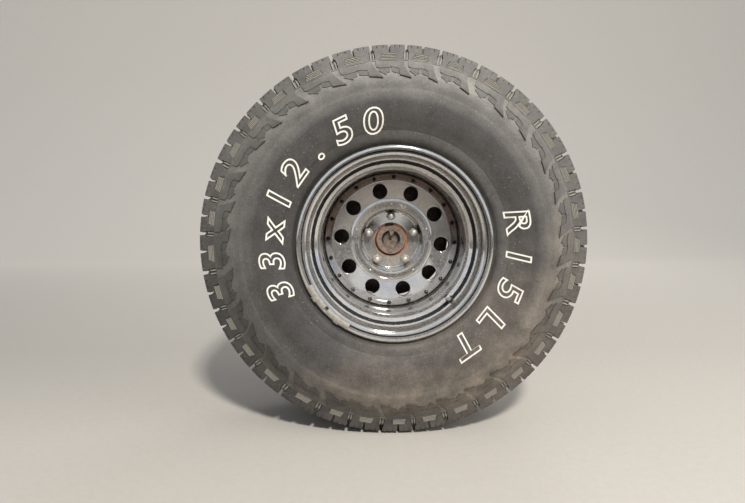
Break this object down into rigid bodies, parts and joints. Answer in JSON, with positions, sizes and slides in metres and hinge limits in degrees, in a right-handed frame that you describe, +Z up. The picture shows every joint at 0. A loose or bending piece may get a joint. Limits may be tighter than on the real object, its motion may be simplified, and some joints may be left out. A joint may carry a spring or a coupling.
{
  "type": "off-road wheel and tyre on a driven axle end",
  "caption": "Chromed steel wheel with round hand holes and an all-terrain tyre, turning on the flanged end of a live axle with its drum, backing plate and spring seat.",
  "frame": {"origin": "centre of the axle tube's inboard end, on the axle line", "axes": "+Y inboard along the axle, -Y outboard towards the wheel, +Z up, +X towards the vehicle's front"},
  "size_m": [0.832, 0.5678, 0.832],
  "materials": {
    "axle_paint": "satin black paint, dusty",
    "plate_paint": "black paint with rust at the edges",
    "plain_steel": "plain steel, dulled",
    "tyre_rubber": "matte black rubber, dusty",
    "chrome_plate": "chrome plate with specks of rust",
    "forged_steel": "forged steel, greyed",
    "rusty_iron": "cast iron with surface rust",
    "valve_rubber": "moulded black rubber",
    "weight_metal": "matte grey metal"
  },
  "bodies": {
    "axle_end": {"axle_tube": "axle_paint", "spring_seat": "axle_paint", "backing_plate": "plate_paint", "bearing_retainer": "plain_steel", "wheel_bearing": "plain_steel", "flange_bolts": "plain_steel"},
    "wheel": {"tyre": "tyre_rubber", "rim_barrel": "chrome_plate", "wheel_disc": "chrome_plate", "lug_nuts": "chrome_plate", "axle_shaft": "forged_steel", "brake_drum": "rusty_iron", "valve_stem": "valve_rubber", "wheel_weights": "weight_metal"}
  },
  "joints": [
    {"name": "wheel_spin", "type": "hinge", "parent": "axle_end", "child": "wheel", "pos_m": [0, 0, 0], "axis": [0, 1, 0], "continuous": true}
  ]
}
